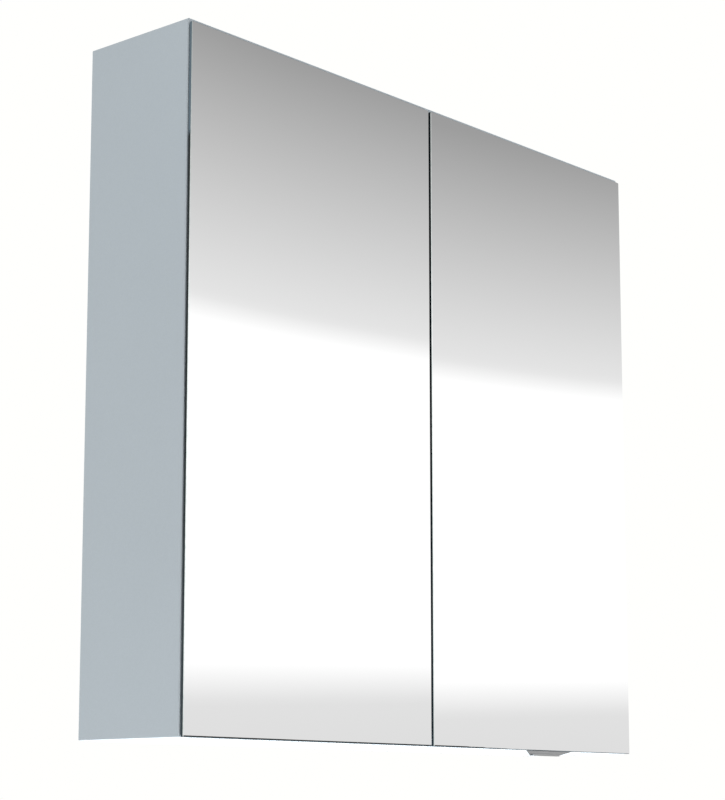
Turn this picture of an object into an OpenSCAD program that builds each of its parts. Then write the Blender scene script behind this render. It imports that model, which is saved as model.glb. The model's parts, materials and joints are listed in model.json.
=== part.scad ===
// Wall-hung mirror cabinet with two frameless mirror doors, glass shelves and concealed elbow hinges.
// x = 0 is the middle, the wall is y = 0 and the doors face -y.

/* [Cabinet] */
// Overall width of the carcass
cab_w = 750; // [500:10:1000]
// Overall height of the carcass
cab_h = 720; // [500:10:900]
// Depth from the wall to the face of the mirrors
cab_d = 150; // [135:5:220]
// Thickness of the carcass boards
board_t = 16; // [15:1:19]
// Thickness of the banding on the boards' front edges
band_t = 1; // [0.6:0.2:1.4]
// How far the bottom board stands back, so that a pull can hook under a door
bottom_setback = 4; // [3:1:8]

/* [Back] */
// Thickness of the back panel
back_t = 4; // [3:1:6]
// Space behind the back panel for the hanging hardware
cavity_d = 16; // [15:1:22]
// Depth of the groove that holds the back panel
groove_d = 6; // [4:1:7]
// Play of the back panel in its groove, all round
back_play = 0.1; // [0.05:0.05:0.3]

/* [Mirror doors] */
// Thickness of the mirror glass
glass_t = 4; // [4:1:6]
// Thickness of the safety film on the back of the glass
film_t = 0.2; // [0.1:0.1:0.4]
// Gap between the film and the carcass when a door is shut
door_gap = 0.8; // [0.6:0.1:2]
// Gap between the two doors
door_split = 4; // [2:1:6]
// How far a door stops short of the carcass's outer side
door_side_inset = 0.5; // [0:0.5:2]
// How far a door stops short of the carcass's top
door_top_inset = 4; // [0:1:8]
// Width of the film's bare margin at the edges of the glass
film_margin = 1; // [0.5:0.5:3]

/* [Shelves] */
// Thickness of the glass shelves
shelf_t = 5; // [4:1:8]
// Gap between a shelf and the boards at its ends
shelf_end_gap = 1.5; // [1:0.5:3]
// How far a shelf's front edge lies behind the carcass's front
shelf_front_set = 14; // [10:1:40]
// Diameter of a shelf pin's peg and of its hole
peg_d = 5; // [4:1:6]
// Depth of a shelf pin's hole
peg_l = 7; // [5:1:7]
// Diameter of the pin's shoulder
pin_head_d = 7; // [6:1:10]
// Spacing of the rows of shelf holes
row_pitch = 32; // [25:1:50]

/* [Hinges] */
// Height of a hinge above the bottom, and below the top, of the carcass
hinge_end = 100; // [70:5:150]
// Distance of the door pivot from the carcass's outer side
boss_pivot_in = 31; // [30:0.5:36]
// Distance of the door pivot behind the glass
boss_pivot_back = 7; // [6.5:0.5:9]
// Distance of the arm pivot from the board it is mounted on
arm_pivot_in = 5.5; // [5:0.5:8]
// Distance of the arm pivot behind the glass
arm_pivot_back = 16; // [15:0.5:20]
// Diameter of the hinge pins
hinge_pin_d = 3; // [2.5:0.5:4]
// Radial clearance of a turning pin
pin_play = 0.05; // [0.02:0.01:0.08]
// Radial clearance of the elbow pin, which closes the linkage
elbow_play = 0.15; // [0.1:0.05:0.3]
// Diameter of the bonded boss
boss_d = 30; // [26:1:34]
// Thickness of the boss's adhesive pad
pad_t = 0.5; // [0.3:0.1:1]
// Distance of the mounting screws behind the carcass's front
plate_back = 37; // [37:1:45]

/* [Finger pull] */
// Length of the pull along the door
pull_l = 88; // [60:2:120]
// Distance from the middle of the cabinet to the pull's inner end
pull_x = 174; // [60:2:230]
// How far the pull hangs below the glass
pull_drop = 6; // [4:0.5:10]
// Thickness of the pull's sheet
pull_t = 1.2; // [1:0.1:2]

/* [Wall fixing] */
// Distance of the wall rail's screws below the cabinet's top
rail_drop = 48; // [46:1:80]
// Gap between the rail's end and the side board
rail_end_gap = 9; // [6:1:40]
// Thickness of the rail's steel
rail_t = 2; // [1.5:0.5:3]
// Spacing of the two outer screw holes
rail_outer = 560; // [300:10:800]
// Spacing of the two inner screw holes
rail_inner = 240; // [100:10:280]
// Diameter of the screw holes
rail_hole_d = 5.5; // [4.5:0.5:8]

/* [Hidden] */
$fn = 48;

// carcass
side_x = cab_w / 2;
inner_x = side_x - board_t;
glass_back = -cab_d + glass_t;                    // y of the back of the glass
front_y = glass_back + film_t + door_gap;         // y of the carcass's front, banding included
board_front = front_y + band_t;                   // y of the boards' own front edge
back_y = -cavity_d;                               // y of the back panel's rear face
inside_y = back_y - back_t;                       // y of the back panel's front face
rail_z = cab_h - rail_drop;

// board joints
cam_d = 15;
cam_axis = 4.5;                                   // bolt's line above the cam's foot
cam_h = board_t / 2 + cam_axis;
cam_slot = cam_axis + 3.2;                        // depth of the cam's slots from its foot
cam_in = 34;                                      // cam's centre from the end of its board
bolt_d = 7;
bolt_thread_d = 5;
bolt_thread_l = 11;
dowel_d = 8;
dowel_l = 30;
dowel_side = 12;                                  // length of a dowel in the side board
cam_rows = [inside_y - 22, board_front + 28];
dowel_rows = [inside_y - 40, board_front + 46];

// doors
door_z0 = 0;
door_h = cab_h - door_top_inset;
door_w = side_x - door_side_inset - door_split / 2;

// shelves
bay_x0 = board_t / 2;                             // a bay runs from the divider to the side board
bay_w = inner_x - bay_x0;
shelf_z = [cab_h * 0.35, cab_h * 0.65];
shelf_d = inside_y - front_y - shelf_front_set - 1;
shelf_y0 = front_y + shelf_front_set;
pin_rows = [shelf_y0 + 18, inside_y - 22];
pin_reach = 8;                                    // length of a pin's shoulder

// hinges, as distances from the carcass's outer side and from the back of the glass
hinge_z = [cab_h - hinge_end, hinge_end];
axis_p = [door_side_inset, -glass_t / 2];
boss_p = [boss_pivot_in, boss_pivot_back];
arm_p = [board_t + arm_pivot_in, arm_pivot_back];
elbow_p = arm_p + boss_p - axis_p;                // the linkage is a parallelogram
link_w = 7;                                       // eyes of the links
link_waist = 5.4;                                 // links between their eyes
boss_link_t = 5;
cheek_in = boss_link_t / 2 + 0.3;
arm_cheek = 2.2;
boss_cheek = 2;
arm_half = cheek_in + arm_cheek;
fork_in = arm_half + 0.2;
fork_t = 1.6;
fork_half = fork_in + fork_t;
plate_t = 3;
wing_t = 2;
screw_pitch = 32;
screw_d = 5;
screw_l = 11;
plate_v = film_t + door_gap + plate_back;         // the screws' line behind the glass
boss_c = [boss_p[0] + 4, film_t + pad_t];
boss_base = 2;

// catches
magnet_w = 36;
magnet_h = 12;
magnet_d = 26;
magnet_x = bay_x0 + 6;
magnet_gap = 0.3;
strike_t = 1;
strike_d = 22;
strike_z = cab_h - board_t - magnet_h / 2 - 6;
bumper_t = door_gap - 0.1;
bumper_d = 5;

// finger pull
tape_t = 0.3;
pull_back = 14;                                   // height of the flange behind the glass
pull_in_run = 7;                                  // run of the steep inner end
pull_out_run = 31;                                // run of the tapered outer end
pull_lip = 4.5;

// wall rail
rail_low = 20;                                    // rail's foot below its screws
rail_up = 12;                                     // rail's step above its screws
rail_off = 7;                                     // rail's lip from the wall to its face
rail_lip = 14;
rail_l = 2 * (inner_x - rail_end_gap);
bracket_w = 22;
bracket_t = 2.5;

module on_side(right) {
    mirror([right ? 1 : 0, 0, 0]) children();
}

// moves to a point given from the left outer side and from the back of the glass
module at_hinge(p, z) {
    translate([-side_x + p[0], glass_back + p[1], z]) children();
}

// ---- carcass ----

module joint_holes_side() {
    for (z = [board_t / 2, cab_h - board_t / 2]) {
        for (y = cam_rows)
            translate([-inner_x - bolt_thread_l, y, z]) rotate([0, 90, 0])
                cylinder(d = bolt_thread_d, h = bolt_thread_l + 1);
        for (y = dowel_rows)
            translate([-inner_x - dowel_side, y, z]) rotate([0, 90, 0])
                cylinder(d = dowel_d, h = dowel_side + 1);
    }
}

module shelf_holes(x0, h) {
    for (zs = shelf_z, row = [-1, 0, 1], y = pin_rows)
        translate([x0, y, zs - pin_head_d / 2 + row * row_pitch]) rotate([0, 90, 0])
            cylinder(d = peg_d, h = h);
}

module side_panel() {
    color("#afb8be") difference() {
        translate([-side_x, board_front, 0]) cube([board_t, -board_front, cab_h]);
        translate([-inner_x - groove_d, inside_y - back_play, board_t - groove_d])
            cube([groove_d + 1, back_t + 2 * back_play, cab_h - 2 * board_t + 2 * groove_d]);
        joint_holes_side();
        shelf_holes(-inner_x - peg_l, peg_l + 1);
        for (zh = hinge_z, s = [-1, 1])
            at_hinge([board_t - screw_l + wing_t, plate_v], zh + s * screw_pitch / 2)
                rotate([0, 90, 0]) cylinder(d = screw_d, h = screw_l);
        for (s = [-1, 1])
            translate([-inner_x - screw_l + bracket_t, back_y / 2 - 1.5, bracket_screw_z(s)])
                rotate([0, 90, 0]) cylinder(d = 4, h = screw_l);
    }
}

// a top or bottom board, drawn as the bottom one
module cross_board(setback) {
    y0 = board_front + setback;
    difference() {
        translate([-inner_x, y0, 0]) cube([2 * inner_x, -y0, board_t]);
        translate([-inner_x - 1, inside_y - back_play, board_t - groove_d])
            cube([2 * inner_x + 2, back_t + 2 * back_play, groove_d + 1]);
        for (s = [0, 1]) on_side(s) {
            for (y = cam_rows) {
                translate([-inner_x - 1, y, board_t / 2]) rotate([0, 90, 0])
                    cylinder(d = bolt_d, h = cam_in + 1);
                translate([-inner_x + cam_in, y, board_t - cam_h]) cylinder(d = cam_d, h = cam_h + 1);
            }
            for (y = dowel_rows)
                translate([-inner_x - 1, y, board_t / 2]) rotate([0, 90, 0])
                    cylinder(d = dowel_d, h = dowel_l - dowel_side + 1);
        }
        for (y = dowel_rows)
            translate([0, y, board_t - dowel_side + 2]) cylinder(d = dowel_d, h = dowel_side);
    }
}

module bottom_panel() {
    color("#afb8be") cross_board(bottom_setback);
}

module top_panel() {
    color("#afb8be") translate([0, 0, cab_h]) mirror([0, 0, 1]) cross_board(0);
}

module centre_divider() {
    color("#afb8be") difference() {
        translate([-board_t / 2, board_front, board_t])
            cube([board_t, inside_y - back_play - board_front, cab_h - 2 * board_t]);
        for (s = [0, 1]) on_side(s) shelf_holes(bay_x0 - peg_l, peg_l + 1);
        for (z = [board_t - 1, cab_h - board_t - dowel_l + dowel_side], y = dowel_rows)
            translate([0, y, z]) cylinder(d = dowel_d, h = dowel_l - dowel_side + 1);
    }
}

module back_panel() {
    reach = groove_d - 0.5;
    color("#dfe3e5") translate([-inner_x - reach, inside_y, board_t - reach])
        cube([2 * (inner_x + reach), back_t, cab_h - 2 * (board_t - reach)]);
}

module side_edge_bands() {
    color("#b4bcc2") for (s = [0, 1]) on_side(s) translate([-side_x, front_y, 0]) cube([board_t, band_t, cab_h]);
}

module cross_edge_bands() {
    color("#b4bcc2") {
        translate([-inner_x, front_y, cab_h - board_t]) cube([2 * inner_x, band_t, board_t]);
        translate([-inner_x, front_y + bottom_setback, 0]) cube([2 * inner_x, band_t, board_t]);
    }
}

module divider_edge_band() {
    color("#b4bcc2") translate([-board_t / 2, front_y, board_t]) cube([board_t, band_t, cab_h - 2 * board_t]);
}

module carcass_dowels() {
    color("#c9a36a") {
        for (s = [0, 1]) on_side(s)
            for (z = [board_t / 2, cab_h - board_t / 2], y = dowel_rows)
                translate([-inner_x - dowel_side, y, z]) rotate([0, 90, 0])
                    cylinder(d = dowel_d, h = dowel_l);
        for (z = [board_t - dowel_side + 2, cab_h - board_t - dowel_l + dowel_side], y = dowel_rows)
            translate([0, y, z]) cylinder(d = dowel_d, h = dowel_l - 2);
    }
}

module cam_bolts() {
    color("#a9abad") for (s = [0, 1]) on_side(s)
        for (z = [board_t / 2, cab_h - board_t / 2], y = cam_rows)
            translate([-inner_x, y, z]) rotate([0, 90, 0]) {
                translate([0, 0, -bolt_thread_l]) cylinder(d = bolt_thread_d, h = bolt_thread_l);
                cylinder(d = bolt_d, h = cam_in - cam_d / 2);
                cylinder(d = 4, h = cam_in - 2);
                translate([0, 0, cam_in - 2]) cylinder(d = 6, h = 3);
            }
}

module cam_lock() {
    difference() {
        cylinder(d = cam_d, h = cam_h);
        translate([-cam_d, -2.1, -1]) cube([cam_d, 4.2, cam_slot + 1]);
        translate([-3, -3.2, -1]) cube([6, 6.4, cam_slot + 1]);
        translate([-4, -0.6, cam_h - 2]) cube([8, 1.2, 3]);
        translate([-0.6, -4, cam_h - 2]) cube([1.2, 8, 3]);
    }
}

module cam_locks() {
    color("#b9bbbd") for (s = [0, 1]) on_side(s) for (y = cam_rows) {
        translate([-inner_x + cam_in, y, board_t - cam_h]) cam_lock();
        translate([-inner_x + cam_in, y, cab_h - board_t + cam_h]) mirror([0, 0, 1]) cam_lock();
    }
}

// ---- shelves ----

module shelf(z) {
    color("#bfe0d8", 0.5) translate([-inner_x + shelf_end_gap, shelf_y0, z])
        cube([bay_w - 2 * shelf_end_gap, shelf_d, shelf_t]);
}

module shelf_pin() {
    rotate([0, 90, 0]) {
        translate([0, 0, -peg_l]) cylinder(d = peg_d, h = peg_l);
        cylinder(d = pin_head_d + 2, h = 1);
        cylinder(d = pin_head_d, h = pin_reach);
    }
}

module shelf_pins() {
    color("#c9cbcd") for (s = [0, 1]) on_side(s)
        for (zs = shelf_z, y = pin_rows) {
            translate([-inner_x, y, zs - pin_head_d / 2]) shelf_pin();
            translate([-bay_x0, y, zs - pin_head_d / 2]) mirror([1, 0, 0]) shelf_pin();
        }
}

// ---- doors ----

module door_mirror() {
    color("#dfe4e6") translate([-side_x + door_side_inset, -cab_d, door_z0]) cube([door_w, glass_t, door_h]);
}

module door_film() {
    color("#8e979d") translate([-side_x + door_side_inset + film_margin, glass_back, door_z0 + film_margin])
        cube([door_w - 2 * film_margin, film_t, door_h - 2 * film_margin]);
}

module pull_outline(up) {
    polygon([[0, up], [0, 0], [pull_in_run, -pull_drop],
             [pull_l - pull_out_run, -pull_drop], [pull_l, 0], [pull_l, up]]);
}

module finger_pull() {
    y1 = glass_back + film_t + tape_t;
    color("#a5a5a5") translate([pull_x, y1, 0]) {
        translate([0, pull_t, 0]) rotate([90, 0, 0]) linear_extrude(pull_t) pull_outline(pull_back);
        translate([pull_in_run, -pull_lip, -pull_drop])
            cube([pull_l - pull_in_run - pull_out_run, pull_lip + pull_t, pull_t]);
        translate([pull_in_run, -pull_lip, -pull_drop])
            cube([pull_l - pull_in_run - pull_out_run, pull_t, 2 * pull_t]);
    }
}

module finger_pull_tape() {
    color("#e6e6e6") translate([pull_x + 4, glass_back + film_t, film_margin + 1])
        cube([pull_l - 8, tape_t, pull_back - film_margin - 2]);
}

module door_bumpers() {
    color("#e8ecee") for (s = [0, 1], z = [40, cab_h - 40]) on_side(s)
        translate([-bay_x0 + bumper_d / 2 + 0.3, front_y, z]) rotate([90, 0, 0]) cylinder(d = bumper_d, h = bumper_t);
}

// drawn for the left door, whose free edge is near the middle
module magnet_catch() {
    y0 = glass_back + film_t + strike_t + magnet_gap;
    z0 = strike_z - magnet_h / 2;
    top = cab_h - board_t;
    color("#f0f0ee") translate([-magnet_x - magnet_w, y0, 0]) difference() {
        union() {
            translate([0, 4, top - 3]) cube([magnet_w, magnet_d - 4, 3]);
            translate([6, 0, z0]) cube([magnet_w - 12, magnet_d - 6, top - z0]);
        }
        translate([9, -1, z0 + 2]) cube([magnet_w - 18, 2.5, magnet_h - 4]);
    }
}

module strike_plate() {
    color("#b4b6b8") translate([-magnet_x - magnet_w / 2, glass_back + film_t + strike_t, strike_z])
        rotate([90, 0, 0]) cylinder(d = strike_d, h = strike_t);
}

// ---- hinges, drawn for the left door at height 0 ----

module hinge_plate() {
    half = fork_in - 0.4;
    color("#b7babd") difference() {
        union() {
            at_hinge([board_t, plate_v - 13], -half) cube([plate_t, 34, 2 * half]);
            at_hinge([board_t, plate_v - 6], -screw_pitch / 2) cube([wing_t, 12, screw_pitch]);
            for (s = [-1, 1])
                at_hinge([board_t, plate_v], s * screw_pitch / 2) rotate([0, 90, 0])
                    cylinder(d = 12, h = wing_t);
        }
        for (s = [-1, 1])
            at_hinge([board_t - 1, plate_v], s * screw_pitch / 2) rotate([0, 90, 0])
                cylinder(d = screw_d, h = wing_t + 2);
    }
}

module hinge_screws() {
    color("#a4a7aa") for (s = [0, 1], zh = hinge_z, t = [-1, 1]) on_side(s)
        at_hinge([board_t + wing_t, plate_v], zh + t * screw_pitch / 2) rotate([0, 90, 0]) {
            translate([0, 0, -screw_l]) cylinder(d = screw_d, h = screw_l);
            difference() {
                cylinder(d = 9, h = 1.8);
                for (a = [0, 90]) rotate(a) translate([-2.5, -0.4, 0.8]) cube([5, 0.8, 2]);
            }
        }
}

arm_top = board_t + plate_t + 11;                 // the arm's web, from the outer side
arm_ear = link_w / 2 + 0.2;

module hinge_arm() {
    u0 = board_t + plate_t;
    v_web = arm_p[1] + 15;
    v_end = plate_v + 24;
    color("#c3c6c8") difference() {
        union() {
            at_hinge([u0, v_web], -fork_half) cube([arm_top - u0, v_end - v_web, 2 * fork_half]);
            for (s = [-1, 1]) at_hinge([0, 0], s * (fork_in + fork_t / 2)) {
                translate([u0, arm_p[1], -fork_t / 2]) cube([arm_top - 3 - u0, v_web - arm_p[1] + 1, fork_t]);
                translate([arm_p[0], arm_p[1], -fork_t / 2]) cylinder(r = arm_ear, h = fork_t);
            }
        }
        at_hinge([u0 - 1, v_web - 1], -fork_in)
            cube([arm_top - 1.6 - u0 + 1, v_end - v_web + 2, 2 * fork_in]);
        at_hinge(arm_p, -fork_half - 1) cylinder(d = hinge_pin_d, h = 2 * fork_half + 2);
        at_hinge([arm_top - 3, plate_v - 8], 0) rotate([0, 90, 0]) cylinder(d = 5, h = 4);
        at_hinge([arm_top - 3, plate_v + 12], 0) rotate([0, 90, 0]) cylinder(d = 5, h = 4);
    }
}

// a flat bar with round eyes at p and q
module bar(p, q, z0, h) {
    d = q - p;
    at_hinge(p, z0) {
        cylinder(d = link_w, h = h);
        rotate(atan2(d[1], d[0])) translate([0, -link_waist / 2, 0]) cube([norm(d), link_waist, h]);
    }
    at_hinge(q, z0) cylinder(d = link_w, h = h);
}

module arm_link() {
    color("#b2b5b8") difference() {
        union() {
            bar(arm_p, elbow_p, cheek_in, arm_cheek);
            bar(arm_p, elbow_p, -arm_half, arm_cheek);
            at_hinge(arm_p, -arm_half) cylinder(d = link_w, h = 2 * arm_half);
        }
        at_hinge(arm_p, -arm_half - 1) cylinder(d = hinge_pin_d + 2 * pin_play, h = 2 * arm_half + 2);
        at_hinge(elbow_p, -arm_half - 1) cylinder(d = hinge_pin_d, h = 2 * arm_half + 2);
    }
}

module boss_link() {
    color("#9fa3a6") difference() {
        bar(boss_p, elbow_p, -boss_link_t / 2, boss_link_t);
        at_hinge(boss_p, -boss_link_t) cylinder(d = hinge_pin_d + 2 * pin_play, h = 2 * boss_link_t);
        at_hinge(elbow_p, -boss_link_t) cylinder(d = hinge_pin_d + 2 * elbow_play, h = 2 * boss_link_t);
    }
}

module hinge_boss() {
    v0 = boss_c[1];
    color("#c8cacc") difference() {
        union() {
            at_hinge(boss_c, 0) rotate([-90, 0, 0]) cylinder(d = boss_d, h = boss_base);
            for (s = [-1, 1]) at_hinge([0, 0], s * (cheek_in + boss_cheek / 2)) {
                translate([boss_p[0], boss_p[1], -boss_cheek / 2]) cylinder(d = link_w, h = boss_cheek);
                translate([boss_p[0] - link_w / 2, v0, -boss_cheek / 2])
                    cube([link_w, boss_p[1] - v0, boss_cheek]);
                translate([boss_p[0], v0, -boss_cheek / 2]) cube([13, boss_p[1] - v0 - 1, boss_cheek]);
            }
        }
        at_hinge(boss_p, -arm_half - 1) cylinder(d = hinge_pin_d, h = 2 * arm_half + 2);
    }
}

module boss_pads() {
    color("#5c6063") for (zh = hinge_z)
        at_hinge([boss_c[0], film_t], zh) rotate([-90, 0, 0]) cylinder(d = boss_d, h = pad_t);
}

module hinge_pins(p, half) {
    color("#8f9396") for (zh = hinge_z) at_hinge(p, zh - half) cylinder(d = hinge_pin_d, h = 2 * half);
}

// ---- wall fixing ----

function bracket_screw_z(s) = rail_z + 4 + s * 9;

module wall_rail() {
    step_z = rail_z + rail_up;
    color("#b9bcbe") difference() {
        union() {
            translate([-rail_l / 2, -rail_t, rail_z - rail_low]) cube([rail_l, rail_t, rail_low + rail_up]);
            translate([-rail_l / 2, -rail_off, step_z]) cube([rail_l, rail_off, rail_t]);
            translate([-rail_l / 2, -rail_off, step_z]) cube([rail_l, rail_t, rail_lip]);
        }
        for (x = [-rail_outer / 2, -rail_inner / 2, rail_inner / 2, rail_outer / 2])
            translate([x, 1, rail_z]) rotate([90, 0, 0]) cylinder(d = rail_hole_d, h = rail_t + 2);
    }
}

// hooks over the rail's lip and is screwed to the side board, in the space behind the back panel
module hanger_bracket() {
    lip_top = rail_z + rail_up + rail_lip;
    flange_h = lip_top + bracket_t - (rail_z - 12);
    color("#aeb1b4") difference() {
        union() {
            translate([-inner_x, -cavity_d + 1, rail_z - 12]) cube([bracket_t, cavity_d - 3, flange_h]);
            translate([-inner_x, -cavity_d + 1, lip_top]) cube([bracket_w, cavity_d - 3, bracket_t]);
            translate([-inner_x, -rail_off + rail_t + 0.5, lip_top - 10]) cube([bracket_w, 2.5, 11]);
            translate([-inner_x, -cavity_d + 1, lip_top - 8]) cube([bracket_w, bracket_t, 9]);
        }
        for (s = [-1, 1])
            translate([-inner_x - 1, back_y / 2 - 1.5, bracket_screw_z(s)]) rotate([0, 90, 0])
                cylinder(d = 4, h = bracket_t + 2);
    }
}

module hanger_screws() {
    color("#a4a7aa") for (s = [0, 1], t = [-1, 1]) on_side(s)
        translate([-inner_x + bracket_t, back_y / 2 - 1.5, bracket_screw_z(t)]) rotate([0, 90, 0]) {
            translate([0, 0, -screw_l]) cylinder(d = 4, h = screw_l);
            cylinder(d = 8, h = 1.6);
        }
}

module placed() {
    translate([0, 0, -rail_z]) children();
}

module hinge_place(right, k) {
    placed() on_side(right) translate([0, 0, hinge_z[k]]) children();
}

placed() side_panel();  // left_side_panel
placed() on_side(true) side_panel();  // right_side_panel
placed() top_panel();
placed() bottom_panel();
placed() centre_divider();
placed() back_panel();
placed() side_edge_bands();
placed() cross_edge_bands();
placed() divider_edge_band();
placed() carcass_dowels();
placed() cam_bolts();
placed() cam_locks();
placed() shelf(shelf_z[1]);  // left_upper_shelf
placed() shelf(shelf_z[0]);  // left_lower_shelf
placed() on_side(true) shelf(shelf_z[1]);  // right_upper_shelf
placed() on_side(true) shelf(shelf_z[0]);  // right_lower_shelf
placed() shelf_pins();
placed() door_mirror();  // left_door_mirror
placed() on_side(true) door_mirror();  // right_door_mirror
placed() door_film();  // left_door_film
placed() on_side(true) door_film();  // right_door_film
placed() finger_pull();
placed() finger_pull_tape();
placed() door_bumpers();
placed() magnet_catch();  // left_magnet_catch
placed() on_side(true) magnet_catch();  // right_magnet_catch
placed() strike_plate();  // left_strike_plate
placed() on_side(true) strike_plate();  // right_strike_plate
hinge_place(false, 0) hinge_plate();  // left_upper_hinge_plate
hinge_place(false, 1) hinge_plate();  // left_lower_hinge_plate
hinge_place(true, 0) hinge_plate();  // right_upper_hinge_plate
hinge_place(true, 1) hinge_plate();  // right_lower_hinge_plate
hinge_place(false, 0) hinge_arm();  // left_upper_hinge_arm
hinge_place(false, 1) hinge_arm();  // left_lower_hinge_arm
hinge_place(true, 0) hinge_arm();  // right_upper_hinge_arm
hinge_place(true, 1) hinge_arm();  // right_lower_hinge_arm
hinge_place(false, 0) arm_link();  // left_upper_arm_link
hinge_place(false, 1) arm_link();  // left_lower_arm_link
hinge_place(true, 0) arm_link();  // right_upper_arm_link
hinge_place(true, 1) arm_link();  // right_lower_arm_link
hinge_place(false, 0) boss_link();  // left_upper_boss_link
hinge_place(false, 1) boss_link();  // left_lower_boss_link
hinge_place(true, 0) boss_link();  // right_upper_boss_link
hinge_place(true, 1) boss_link();  // right_lower_boss_link
hinge_place(false, 0) hinge_boss();  // left_upper_hinge_boss
hinge_place(false, 1) hinge_boss();  // left_lower_hinge_boss
hinge_place(true, 0) hinge_boss();  // right_upper_hinge_boss
hinge_place(true, 1) hinge_boss();  // right_lower_hinge_boss
placed() boss_pads();  // left_boss_pads
placed() on_side(true) boss_pads();  // right_boss_pads
placed() for (s = [0, 1]) on_side(s) hinge_pins(arm_p, fork_half);  // arm_pins
placed() hinge_pins(elbow_p, arm_half);  // left_elbow_pins
placed() on_side(true) hinge_pins(elbow_p, arm_half);  // right_elbow_pins
placed() hinge_pins(boss_p, cheek_in + boss_cheek);  // left_boss_pins
placed() on_side(true) hinge_pins(boss_p, cheek_in + boss_cheek);  // right_boss_pins
placed() hinge_screws();
placed() wall_rail();
placed() hanger_bracket();  // left_hanger_bracket
placed() on_side(true) hanger_bracket();  // right_hanger_bracket
placed() hanger_screws();
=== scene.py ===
import json
import math

import bmesh
import bpy
from mathutils import Matrix, Vector


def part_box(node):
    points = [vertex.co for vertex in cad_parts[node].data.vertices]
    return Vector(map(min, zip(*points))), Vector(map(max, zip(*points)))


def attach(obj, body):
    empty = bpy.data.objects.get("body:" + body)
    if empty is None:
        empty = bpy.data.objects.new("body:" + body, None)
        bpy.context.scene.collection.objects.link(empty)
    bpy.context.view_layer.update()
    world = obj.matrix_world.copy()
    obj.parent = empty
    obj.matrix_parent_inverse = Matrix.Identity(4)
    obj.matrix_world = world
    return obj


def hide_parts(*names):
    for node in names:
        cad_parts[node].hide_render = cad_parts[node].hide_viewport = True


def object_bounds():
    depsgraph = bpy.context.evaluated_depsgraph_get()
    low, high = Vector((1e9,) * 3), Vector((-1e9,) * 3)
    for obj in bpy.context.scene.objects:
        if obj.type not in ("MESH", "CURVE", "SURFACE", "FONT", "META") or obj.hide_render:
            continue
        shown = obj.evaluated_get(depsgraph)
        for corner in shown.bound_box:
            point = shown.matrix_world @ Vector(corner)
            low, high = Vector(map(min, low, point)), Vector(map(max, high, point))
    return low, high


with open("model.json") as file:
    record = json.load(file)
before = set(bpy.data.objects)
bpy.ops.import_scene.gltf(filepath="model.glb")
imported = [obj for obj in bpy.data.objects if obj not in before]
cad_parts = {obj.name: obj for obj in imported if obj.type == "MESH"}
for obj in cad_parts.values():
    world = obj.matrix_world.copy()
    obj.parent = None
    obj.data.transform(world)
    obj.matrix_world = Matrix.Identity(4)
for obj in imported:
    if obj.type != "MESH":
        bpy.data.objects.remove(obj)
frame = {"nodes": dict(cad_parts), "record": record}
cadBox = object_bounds()
nodes = frame["nodes"]
bodyOf = {name: body for body, names in frame["record"]["behaviour"]["bodies"].items() for name in names}
mm = 0.001
waveLength = math.pi / 10   # length of one band of a wave texture at scale 1
sides = ("left", "right")
levels = ("upper", "lower")
low, high = cadBox
centre = (low + high) / 2
print("frame loaded", len(nodes), "nodes")


def toLinear(hexColour):  # sRGB hex to linear RGBA
    parts = [int(hexColour[i:i + 2], 16) / 255 for i in (1, 3, 5)]
    return [p / 12.92 if p <= 0.04045 else ((p + 0.055) / 1.055) ** 2.4 for p in parts] + [1.0]


def addNode(tree, kind, settings=None, inputs=None):  # one node with its settings, values and incoming links
    made = tree.nodes.new("ShaderNode" + kind)
    for name, value in (settings or {}).items():
        setattr(made, name, value)
    for name, value in (inputs or {}).items():
        if isinstance(value, bpy.types.NodeSocket):
            tree.links.new(value, made.inputs[name])
        else:
            made.inputs[name].default_value = toLinear(value) if isinstance(value, str) else value
    return made


def blendStops(ramp, stops):  # sets a ramp's stops: place, colour or grey
    while len(ramp.elements) < len(stops):
        ramp.elements.new(0.5)
    for element, (place, tone) in zip(ramp.elements, stops):
        element.position = place
        element.color = toLinear(tone) if isinstance(tone, str) else (tone, tone, tone, 1)


def newMaterial(name, inputs):  # a principled surface and the place it is read at, in metres
    made = bpy.data.materials.new(name)
    made.use_nodes = True
    tree = made.node_tree
    tree.nodes.clear()
    shader = addNode(tree, "BsdfPrincipled", None, inputs)
    addNode(tree, "OutputMaterial", None, {"Surface": shader.outputs[0]})
    place = addNode(tree, "TexCoord").outputs["Object"]
    return made, tree, shader, place


def startEditing(piece):
    bpy.ops.object.select_all(action="DESELECT")
    piece.select_set(True)
    bpy.context.view_layer.objects.active = piece
    bpy.ops.object.mode_set(mode="EDIT")
    bpy.ops.mesh.select_all(action="SELECT")


def stopEditing():
    bpy.ops.object.mode_set(mode="OBJECT")


def pick(piece, kind, rule):  # selects the edges or faces that the rule keeps, in edit mode
    bpy.ops.mesh.select_mode(type="EDGE" if kind == "edges" else "FACE")
    mesh = bmesh.from_edit_mesh(piece.data)
    for part in [*mesh.faces, *mesh.edges, *mesh.verts]:
        part.select_set(False)
    for part in getattr(mesh, kind):
        if rule(part):
            part.select_set(True)
    bmesh.update_edit_mesh(piece.data)


def mergedCopy(node, name):  # a copy of a part's mesh with its loose triangles joined to whole faces
    piece = bpy.data.objects.new(name, nodes[node].data.copy())
    bpy.context.collection.objects.link(piece)
    piece.data.materials.clear()
    startEditing(piece)
    bpy.ops.mesh.remove_doubles(threshold=0.005 * mm)
    bpy.ops.mesh.dissolve_limited(angle_limit=math.radians(0.5))
    stopEditing()
    return piece


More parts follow.
